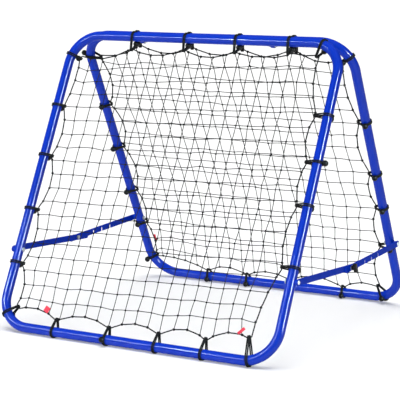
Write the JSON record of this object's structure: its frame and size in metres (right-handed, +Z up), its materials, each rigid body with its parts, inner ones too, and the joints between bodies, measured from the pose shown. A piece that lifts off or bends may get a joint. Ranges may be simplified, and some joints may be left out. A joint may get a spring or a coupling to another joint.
{
  "type": "folding pitch back rebounder",
  "caption": "Folding tent-shaped ball rebounder: rounded tube frames hinged together at the top, each with a net on elastic loops, held apart by folding side braces.",
  "frame": {"origin": "on the ground, in the middle of the footprint, midway between the two frames", "axes": "+X to the right across the nets, +Y from the front net to the rear net, +Z up"},
  "size_m": [1.0606, 1.0028, 0.9244],
  "materials": {
    "frame_paint": "glossy blue powder coat",
    "brace_paint": "satin blue powder coat",
    "zinc_steel": "bright zinc plate",
    "net_cord": "knotted twine",
    "border_rope": "braided rope",
    "elastic_cord": "braided elastic cord",
    "ball_plastic": "smooth black moulded",
    "knob_plastic": "matte black moulded",
    "tag_fabric": "woven red tape"
  },
  "bodies": {
    "front_frame": {"front_upper_tube": "frame_paint", "front_lower_tube": "frame_paint", "front_hinge_lugs": "frame_paint", "hinge_bolts": "zinc_steel", "hinge_nuts": "zinc_steel", "hinge_washers": "zinc_steel", "front_brace_bolts": "zinc_steel", "front_brace_nuts": "zinc_steel", "front_brace_spacers": "frame_paint", "front_net": "net_cord", "front_border_rope": "border_rope", "front_bungees": "elastic_cord", "front_ground_bungees": "elastic_cord", "front_bungee_balls": "ball_plastic", "front_tags": "tag_fabric"},
    "rear_frame": {"rear_upper_tube": "frame_paint", "rear_lower_tube": "frame_paint", "rear_hinge_lugs": "frame_paint", "rear_brace_bolts": "zinc_steel", "rear_brace_nuts": "zinc_steel", "rear_brace_spacers": "frame_paint", "rear_net": "net_cord", "rear_border_rope": "border_rope", "rear_bungees": "elastic_cord", "rear_ground_bungees": "elastic_cord", "rear_bungee_balls": "ball_plastic", "rear_tag": "tag_fabric"},
    "left_front_arm": {"left_front_brace": "brace_paint", "left_clamp_bolt": "zinc_steel"},
    "left_rear_arm": {"left_rear_brace": "brace_paint", "left_clamp_stud": "zinc_steel", "left_clamp_washer": "zinc_steel"},
    "left_knob": {"left_clamp_knob": "knob_plastic"},
    "right_front_arm": {"right_front_brace": "brace_paint", "right_clamp_bolt": "zinc_steel"},
    "right_rear_arm": {"right_rear_brace": "brace_paint", "right_clamp_stud": "zinc_steel", "right_clamp_washer": "zinc_steel"},
    "right_knob": {"right_clamp_knob": "knob_plastic"}
  },
  "joints": [
    {"name": "fold", "type": "hinge", "parent": "front_frame", "child": "rear_frame", "pos_m": [0, 0, 0.89275], "axis": [-1, 0, 0], "range_deg": [0, 54]},
    {"name": "left_front_brace_lift", "type": "hinge", "parent": "front_frame", "child": "left_front_arm", "pos_m": [-0.50705, -0.36213, 0.23917], "axis": [1, 0, 0], "range_deg": [0, 62.41]},
    {"name": "left_rear_brace_lift", "type": "hinge", "parent": "rear_frame", "child": "left_rear_arm", "pos_m": [-0.51085, 0.36667, 0.23026], "axis": [-1, 0, 0], "range_deg": [0, 65.17]},
    {"name": "left_knob_turn", "type": "hinge", "parent": "left_rear_arm", "child": "left_knob", "pos_m": [-0.52, 0, 0.217], "axis": [-1, 0, 0], "continuous": true},
    {"name": "right_front_brace_lift", "type": "hinge", "parent": "front_frame", "child": "right_front_arm", "pos_m": [0.50705, -0.36213, 0.23917], "axis": [1, 0, 0], "range_deg": [0, 62.41]},
    {"name": "right_rear_brace_lift", "type": "hinge", "parent": "rear_frame", "child": "right_rear_arm", "pos_m": [0.51085, 0.36667, 0.23026], "axis": [-1, 0, 0], "range_deg": [0, 65.17]},
    {"name": "right_knob_turn", "type": "hinge", "parent": "right_rear_arm", "child": "right_knob", "pos_m": [0.52, 0, 0.217], "axis": [1, 0, 0], "continuous": true}
  ],
  "couplings": [
    {"joint": "left_front_brace_lift", "follows": "fold", "ratio": 1.1538},
    {"joint": "left_rear_brace_lift", "follows": "fold", "ratio": 1.205},
    {"joint": "right_front_brace_lift", "follows": "fold", "ratio": 1.1538},
    {"joint": "right_rear_brace_lift", "follows": "fold", "ratio": 1.205}
  ]
}
